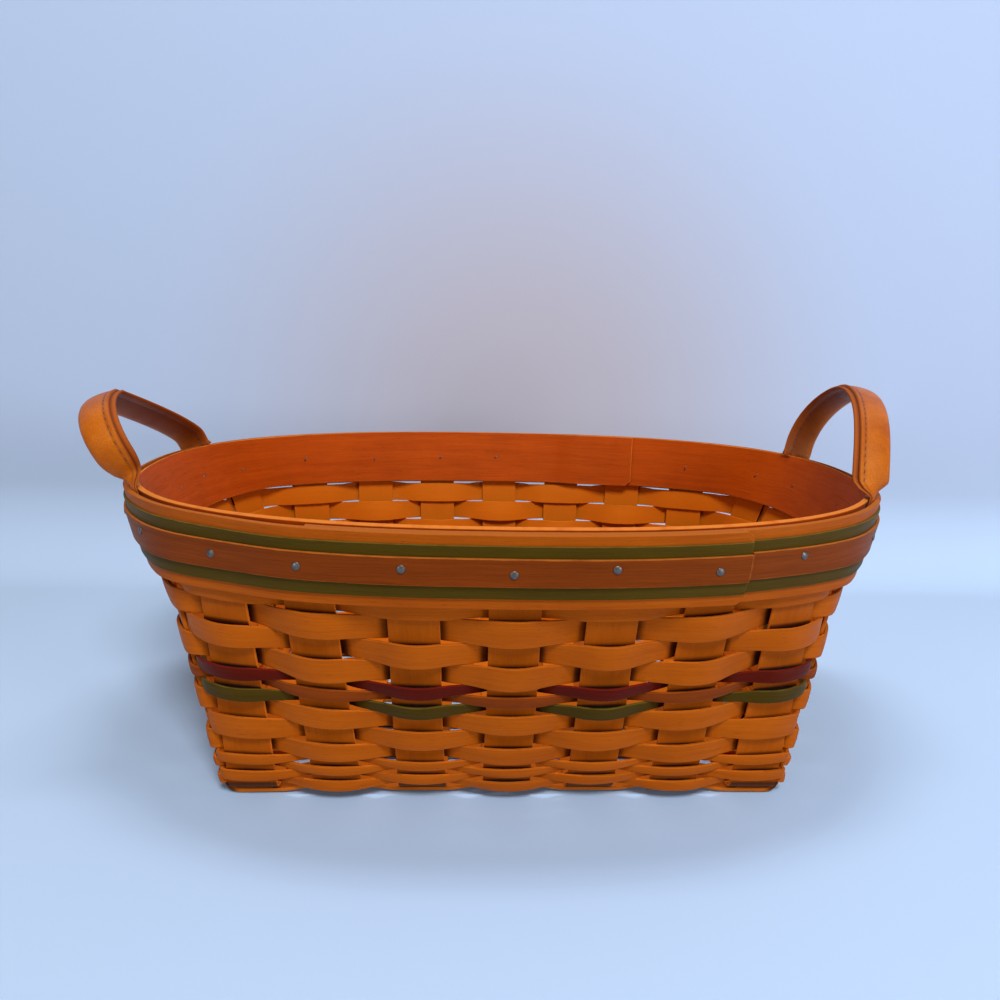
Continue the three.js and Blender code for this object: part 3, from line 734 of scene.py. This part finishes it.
band = lay_splint("splint_rim_band_outer", band_wood, outer_steps,
                  steps_across=8, length=outer_length, width=outer_high - outer_low,
                  thickness=band_thickness, eased=band_eased, place=outer_band, shift=31.0)
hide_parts("rim_band_outer")
band = lay_splint("splint_rim_band_inner", inner_band_bounce_wood, inner_steps,
                  steps_across=8, length=inner_length, width=inner_high - inner_low,
                  thickness=band_thickness, eased=band_eased, place=inner_band, shift=37.0)
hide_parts("rim_band_inner")

# Trim on the outer band: a dyed green strip, and a narrower brown one on top of it,
# once round from one side of the band's end to the other, held by the same tacks.
trim_from, trim_to = 5.26, 31.22
trim_steps, trim_length = 312, 0.75
trim_play, trim_wave = 0.00005, 0.0002
green_low, green_high, green_thickness = 0.0795, 0.0963, 0.0008
brown_low, brown_high, brown_thickness = 0.0838, 0.0927, 0.001
green_lift = trim_play + green_thickness / 2
brown_lift = 2 * trim_play + green_thickness + brown_thickness / 2
green_trim_wood = splint_material("green_trim", face=srgb(66, 53, 5), grain=srgb(44, 36, 3),
                                  cut=srgb(98, 76, 26), streaks=0.65, flecks=0.3, blotches=0.3)
brown_trim_wood = splint_material("brown_trim", face=srgb(118, 50, 6), grain=srgb(88, 34, 4),
                                  cut=srgb(156, 84, 28), streaks=0.8, flecks=0.5,
                                  blotches=0.35, edge_width=0.0003)


def trim_place(low, high, lift):
    def place(a, b):
        s = trim_from + a * (trim_to - trim_from)
        z = low + (high - low) * b + noise.noise(Vector((s * 0.7, low * 900, 0))) * trim_wave
        return wall(s, z, outer_face(z, outer_level(s)) + band_thickness + lift)
    return place


trim = lay_splint("splint_rim_trim_green", green_trim_wood, trim_steps,
                  steps_across=4, length=trim_length, width=green_high - green_low,
                  thickness=green_thickness, eased=0.00022,
                  place=trim_place(green_low, green_high, green_lift), shift=41.0)
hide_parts("rim_trim_green")
trim = lay_splint("splint_rim_trim_brown", brown_trim_wood, trim_steps,
                  steps_across=4, length=trim_length, width=brown_high - brown_low,
                  thickness=brown_thickness, eased=0.00025,
                  place=trim_place(brown_low, brown_high, brown_lift), shift=43.0)
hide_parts("rim_trim_accent")

# Tacks: 26 small blued steel tacks, one through the rim at every upright, with a low
# domed head on the brown trim and the point clinched over inside.
tack_head_radius = 0.00138
tack_head_height = 0.00045
tack_shank = 0.00045
tack_height = 0.0886
tack_depth = 0.0028
clinch_offset, clinch_length, clinch_turn = -0.0034, 0.0022, 2.3
hidden_stray, hidden_rise = 0.06, 0.0008
# How far each tack that shows strays along the rim, in uprights, and up
tack_strays = {24: (0.16, 0.0022), 25: (0.2, 0.0014), 0: (0.086, -0.0002), 1: (0.035, -0.0005),
               2: (-0.042, 0.0004), 3: (-0.042, -0.0007), 4: (-0.106, 0.001), 5: (-0.112, -0.0006),
               6: (-0.19, 0.0015)}

steel, tree = new_material("tack_steel")
coords = node(tree, "ShaderNodeTexCoord").outputs["Object"]
spots = uneven(tree, coords, 900.0, 3.0)
tint = mix(tree, spots, srgb(120, 112, 108), srgb(62, 56, 54))
dullness = ramp(tree, spots, 0.0, 1.0, 0.28, 0.5)
bump = node(tree, "ShaderNodeBump", Strength=0.3, Distance=0.00005, Height=spots).outputs[0]
metal = node(tree, "ShaderNodeBsdfPrincipled", Base_Color=tint, Roughness=dullness, Normal=bump,
             Metallic=0.85)
node(tree, "ShaderNodeOutputMaterial", Surface=metal.outputs[0])

bm = bmesh.new()
for k in range(upright_count):
    stray, rise = tack_strays.get(k, (hidden_stray * math.sin(k * 2.1),
                                      hidden_rise * math.sin(k * 3.7)))
    s, z = k + stray, tack_height + rise
    if s < trim_from:
        s += upright_count
    lift = (outer_face(z, outer_level(s)) + band_thickness + 2 * trim_play + green_thickness
            + brown_thickness)
    head = wall(s, z, lift)
    out = (wall(s, z, lift + 0.001) - head).normalized()
    turned = out.to_track_quat("Z", "Y").to_matrix().to_4x4()
    depth = lift + tack_depth
    profile = [(0, -depth - 0.0004), (tack_shank * 0.4, -depth), (tack_shank, -depth + 0.0012),
               (tack_shank, -0.0003), (tack_head_radius * 0.94, -0.0001), (tack_head_radius, 0.0001),
               (tack_head_radius * 0.86, tack_head_height * 0.6),
               (tack_head_radius * 0.5, tack_head_height * 0.95), (0, tack_head_height)]
    points = [bm.verts.new((x, 0, y)) for x, y in profile]
    lines = [bm.edges.new(pair) for pair in zip(points, points[1:])]
    bmesh.ops.spin(bm, geom=points + lines, cent=(0, 0, 0), axis=(0, 0, 1), angle=2 * math.pi,
                   steps=12, use_merge=True)
    untagged = [vert for vert in bm.verts if not vert.tag]
    bmesh.ops.remove_doubles(bm, verts=untagged, dist=0.00001)
    tack = [vert for vert in bm.verts if not vert.tag]
    bmesh.ops.transform(bm, matrix=Matrix.Translation(head) @ turned, verts=tack)
    # The point is bent over along the inner band
    clinch = bmesh.ops.create_cone(bm, cap_ends=True, segments=8, radius1=tack_shank * 1.1,
                                   radius2=0.0001, depth=clinch_length)["verts"]
    down = Matrix.Rotation(math.pi / 2, 4, "Y")
    lean = Matrix.Rotation(clinch_turn + 0.5 * math.sin(k * 1.3), 4, "Z")
    tip = Matrix.Translation(wall(s, z, clinch_offset))
    bmesh.ops.transform(bm, matrix=tip @ turned @ lean @ down, verts=clinch)
    for vert in tack + clinch:
        vert.tag = True
bmesh.ops.recalc_face_normals(bm, faces=bm.faces)
tacks = new_piece("rim_tacks", bm, steel)
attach(tacks, "basket")

# Leather ears: one strap each, folded lengthwise over a soft filler and stitched along the
# two raw edges, which face the basket, the under one a little proud. At each foot the
# strap narrows to a tongue that goes down between the rim bands. Use has bent each its own way.
hinge_height = 0.101
strap_half = 0.0063
foot_twist = 0.0045
foot_drawn = foot_twist * 0.7
back_foot_drop, back_foot_bend = 0.0022, 0.004
tongue_half = 0.0025
tongue_depth = 0.45
tongue_low, tongue_highs = 0.0845, (0.1, 0.0975)
tongue_steps = 8
back_tongue_width = 0.6
loop_steps = 80
strap_girth = 0.03
stitch_line = -0.0029
stitch_pitch = 0.0027
stitch_levels = (0.00114, -0.00098)
stitch_size = (0.00095, 0.0002, 0.00016)
stitch_slant = 0.12
stitched_width = 0.9  # the narrow tongues carry no stitches
# Section in mm, across the strap from its raw edges and out from the loop: each corner with how raw the
# leather is there and how much painted shade it carries, strongest between the raw edges, on the loop's
# under side and in the stitch grooves
strap_profile = [
    (-4.58, 0.04, 0.4, 1.0), (-4.9, 0.0, 0.9, 0.5), (-5.5, -0.02, 1.0, 0.0), (-6.1, -0.1, 1.0, 0.0),
    (-6.36, -0.4, 1.0, 0.1), (-6.36, -0.8, 1.0, 0.2), (-6.15, -1.12, 0.8, 0.3), (-5.6, -1.22, 0.3, 0.6),
    (-4.6, -1.18, 0.0, 0.7), (-3.6, -1.12, 0.0, 0.75), (-2.9, -0.96, 0.0, 0.9), (-2.2, -1.1, 0.0, 0.78),
    (-0.8, -1.25, 0.0, 0.75), (1.0, -1.4, 0.0, 0.68), (2.8, -1.42, 0.0, 0.55), (4.2, -1.35, 0.0, 0.35),
    (5.3, -1.0, 0.0, 0.15), (6.05, -0.4, 0.0, 0.0), (6.3, 0.3, 0.0, 0.0), (6.1, 1.0, 0.0, 0.0),
    (5.4, 1.6, 0.0, 0.0), (4.2, 1.95, 0.0, 0.0), (2.8, 2.05, 0.0, 0.0), (1.0, 1.95, 0.0, 0.0),
    (-0.8, 1.7, 0.0, 0.0), (-2.1, 1.42, 0.0, 0.0), (-2.9, 1.12, 0.0, 0.35), (-3.6, 1.24, 0.0, 0.1),
    (-4.15, 1.24, 0.3, 0.0), (-4.5, 1.05, 1.0, 0.0), (-4.64, 0.7, 1.0, 0.1), (-4.62, 0.3, 1.0, 0.4)]

leather, tree = new_material("tan_leather")
strap_map = node(tree, "ShaderNodeUVMap", {"uv_map": "strap"}).outputs[0]
mark_map = node(tree, "ShaderNodeUVMap", {"uv_map": "marks"}).outputs[0]
rawness, leather_shade = node(tree, "ShaderNodeSeparateXYZ", Vector=mark_map).outputs[:2]
coords = node(tree, "ShaderNodeTexCoord").outputs["Object"]
pores = node(tree, "ShaderNodeTexVoronoi", {"feature": "DISTANCE_TO_EDGE"}, Vector=coords,
             Scale=1500.0).outputs["Distance"]
pore = ramp(tree, pores, 0.0, 0.35)
cloud = uneven(tree, coords, 70.0, 5.0, 0.6)
drawn = node(tree, "ShaderNodeMapping", Vector=strap_map, Scale=(900.0, 130.0, 1.0)).outputs[0]
creases = ramp(tree, uneven(tree, drawn, 1.0, 3.0), 0.55, 0.75)
skin = mix(tree, ramp(tree, cloud, 0.34, 0.68), srgb(188, 101, 8), srgb(154, 71, 4))
pored = mix(tree, reckon(tree, "MULTIPLY_ADD", pore, -0.28, 0.28), skin, srgb(96, 36, 6))
raw = mix(tree, rawness, pored, srgb(146, 70, 18))
# Painted shade: the second mark darkens the under side of the loop, the crevice between the raw edges
# and the stitch grooves
shaded_leather = mix(tree, leather_shade, raw, srgb(74, 18, 4))
dullness = reckon(tree, "MULTIPLY_ADD", rawness, 0.3, ramp(tree, cloud, 0.0, 1.0, 0.36, 0.55))
relief = reckon(tree, "MULTIPLY_ADD", creases, -0.5, pore)
bump = node(tree, "ShaderNodeBump", Strength=0.4, Distance=0.00012, Height=relief).outputs[0]
hide = node(tree, "ShaderNodeBsdfPrincipled", Base_Color=shaded_leather, Roughness=dullness, Normal=bump,
            Specular_IOR_Level=0.32, Specular_Tint=(1.0, 0.66, 0.36, 1.0))
node(tree, "ShaderNodeOutputMaterial", Surface=hide.outputs[0])

thread, tree = new_material("waxed_thread")
coords = node(tree, "ShaderNodeTexCoord").outputs["Object"]
twist = uneven(tree, coords, 2500.0, 2.0)
tint = mix(tree, twist, srgb(92, 40, 16), srgb(52, 20, 10))
bump = node(tree, "ShaderNodeBump", Strength=0.5, Distance=0.00008, Height=twist).outputs[0]
waxed = node(tree, "ShaderNodeBsdfPrincipled", Base_Color=tint, Roughness=0.6, Normal=bump)
node(tree, "ShaderNodeOutputMaterial", Surface=waxed.outputs[0])


def bezier(start, first, second, end, share):
    rest = 1 - share
    return (start * rest ** 3 + first * 3 * share * rest ** 2 + second * 3 * share ** 2 * rest
            + end * share ** 3)


def ear_loop(side, feet, apex, pulls, slants, leans):
    # The loop is drawn as run and rise in its own plane, which leans out. Each point comes
    # with the direction across the strap and its rise.
    front, back = (Vector((foot[1], 0)) for foot in feet)
    top = Vector(apex)
    loop = []
    for step in range(loop_steps + 1):
        t = step / loop_steps
        if t <= 0.5:
            spot = bezier(front, front + Vector((slants[0], 1)) * pulls[0],
                          top - Vector((pulls[1], 0)), top, t * 2)
        else:
            spot = bezier(top, top + Vector((pulls[2], 0)),
                          back + Vector((slants[1], 1)) * pulls[3], back, t * 2 - 1)
        lean = math.radians(leans[0] * (1 - t) * (1 - 2 * t) + 4 * leans[1] * t * (1 - t)
                            + leans[2] * t * (2 * t - 1))
        x = feet[0][0] + (feet[1][0] - feet[0][0]) * t + side * math.sin(lean) * spot.y
        loop.append((Vector((x, spot.x, hinge_height + math.cos(lean) * spot.y)),
                     Vector((side * math.cos(lean), 0, -math.sin(lean))), spot.y))
    return loop


def ear_stations(side, gaps, feet, apex, pulls, slants, leans, foot_taper):
    # Each station: middle, directions across the strap and out from the loop, and how much
    # of the strap's full width it has there. Each foot is drawn in to its gap in the rim.
    loop = ear_loop(side, feet, apex, pulls, slants, leans)
    stations = []
    for end, gap in enumerate(gaps):
        ahead = (wall(gap + 0.02, hinge_height) - wall(gap - 0.02, hinge_height)).normalized()
        ahead *= 1 if ahead.y > 0 else -1
        out = (wall(gap, hinge_height, 0.001) - wall(gap, hinge_height)).normalized()
        tongue_high = tongue_highs[end]
        tongue = [(wall(gap, tongue_low + (tongue_high - tongue_low) * step / tongue_steps), ahead,
                   out, back_tongue_width * end * step / tongue_steps)
                  for step in range(tongue_steps + 1)]
        leg = []
        for index in range(loop_steps + 1):
            if (index > loop_steps // 2) != bool(end):
                continue
            spot, outward, rise = loop[index]
            along_leg = (loop[min(index + 1, loop_steps)][0] - loop[max(index - 1, 0)][0]).normalized()
            across = (outward - along_leg * outward.dot(along_leg)).normalized()
            outer = across.cross(along_leg) * side
            if end:  # the back foot goes into the rim at its full width
                spot = spot - Vector((0, 0, back_foot_drop * (1 - smooth(rise / back_foot_bend))))
                leg.append((spot, across, outer, 1.0))
                continue
            full = 1 - (1 - min(1.0, rise / foot_taper)) ** 2
            turned = smooth(rise / foot_twist)
            drawn = smooth(rise / foot_drawn)
            wide = (ahead * (1 - turned) + across * turned).normalized()
            thick = out * (1 - turned) + outer * turned
            thick = (thick - wide * thick.dot(wide)).normalized()
            leg.append((wall(gap, hinge_height).lerp(spot, drawn), wide, thick, full))
        stations += tongue + leg if end == 0 else leg + tongue[::-1]
    return stations


def ear_point(station, j):
    middle, wide, thick, full = station
    w, t = strap_profile[j % len(strap_profile)][:2]
    half = (tongue_half + (strap_half - tongue_half) * full) / strap_half
    deep = tongue_depth + (1 - tongue_depth) * full
    return middle + wide * (w * half / 1000) + thick * (t * deep / 1000)


def make_ear(name, body, nodes, feet, **bends):
    stations = ear_stations(feet=feet, **bends)
    # The sharp bend at the rim is rounded
    for turn in range(2):
        middles = [station[0] for station in stations]
        for index in range(1, len(stations) - 1):
            mean = (middles[index - 1] + middles[index] * 2 + middles[index + 1]) / 4
            stations[index] = (mean,) + stations[index][1:]
    lengths = [0.0]
    for before, after in zip(stations, stations[1:]):
        lengths.append(lengths[-1] + (after[0] - before[0]).length)
    bm = bmesh.new()
    strap_uv = bm.loops.layers.uv.new("strap")
    marks_uv = bm.loops.layers.uv.new("marks")
    around, along = len(strap_profile), len(stations) - 1
    bmesh.ops.create_grid(bm, x_segments=along, y_segments=around, size=0.5)
    for face in bm.faces:
        for loop in face.loops:
            i = round((loop.vert.co.x + 0.5) * along)
            j = round((loop.vert.co.y + 0.5) * around)
            loop[strap_uv].uv = (lengths[i], j / around * strap_girth)
            loop[marks_uv].uv = strap_profile[j % around][2:]
    for vert in bm.verts:
        i = round((vert.co.x + 0.5) * along)
        j = round((vert.co.y + 0.5) * around)
        vert.co = ear_point(stations[i], j)
    bmesh.ops.remove_doubles(bm, verts=bm.verts, dist=0.000002)
    bmesh.ops.holes_fill(bm, edges=[edge for edge in bm.edges if edge.is_boundary], sides=0)
    bmesh.ops.recalc_face_normals(bm, faces=bm.faces)
    strap = new_piece(name, bm, leather)
    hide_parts(*nodes)

    bm = bmesh.new()
    for index in range(int(lengths[-1] / stitch_pitch)):
        run = (index + 0.5) * stitch_pitch
        i = next(i for i, length in enumerate(lengths) if length >= run)
        middle, wide, thick, full = stations[i]
        if full < stitched_width:
            continue
        way = (stations[min(i + 1, along)][0] - stations[i - 1][0]).normalized()
        share = (run - lengths[i - 1]) / (lengths[i] - lengths[i - 1])
        middle = stations[i - 1][0].lerp(middle, share)
        for level in stitch_levels:
            spot = middle + wide * stitch_line + thick * level
            placed = Matrix.Translation(spot) @ Matrix((way, wide, thick)).transposed().to_4x4()
            made = bmesh.ops.create_uvsphere(bm, u_segments=6, v_segments=5, radius=1.0)["verts"]
            bmesh.ops.scale(bm, verts=made, vec=stitch_size)
            slant = Matrix.Rotation(stitch_slant, 3, "Z")
            bmesh.ops.rotate(bm, verts=made, cent=(0, 0, 0), matrix=slant)
            bmesh.ops.transform(bm, matrix=placed, verts=made)
    bmesh.ops.recalc_face_normals(bm, faces=bm.faces)
    stitches = new_piece(name + "_stitches", bm, thread)
    for piece in (strap, stitches):
        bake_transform(piece)


# Feet gives the x and y of the front and the back foot, gaps their places between uprights
make_ear("ear_strap_right", "right_ear",
         ("ear_right_loop", "ear_right_tab_front", "ear_right_tab_back"),
         feet=((0.1302, -0.0372), (0.1332, 0.0399)), side=1, gaps=(7.3, 11.4),
         apex=(0.0083, 0.0323), pulls=(0.018, 0.0227, 0.0147, 0.0202), slants=(0.11, 0.29),
         leans=(-2.8, 17.4, 16.4), foot_taper=0.0055)
make_ear("ear_strap_left", "left_ear",
         ("ear_left_loop", "ear_left_tab_front", "ear_left_tab_back"),
         feet=((-0.122, -0.0329), (-0.1249, 0.0403)), side=-1, gaps=(24.7, 20.62),
         apex=(-0.0149, 0.0287), pulls=(0.0168, 0.0187, 0.0053, 0.0088), slants=(-1.16, -0.04),
         leans=(7.7, 27.4, 27.2), foot_taper=0.01)
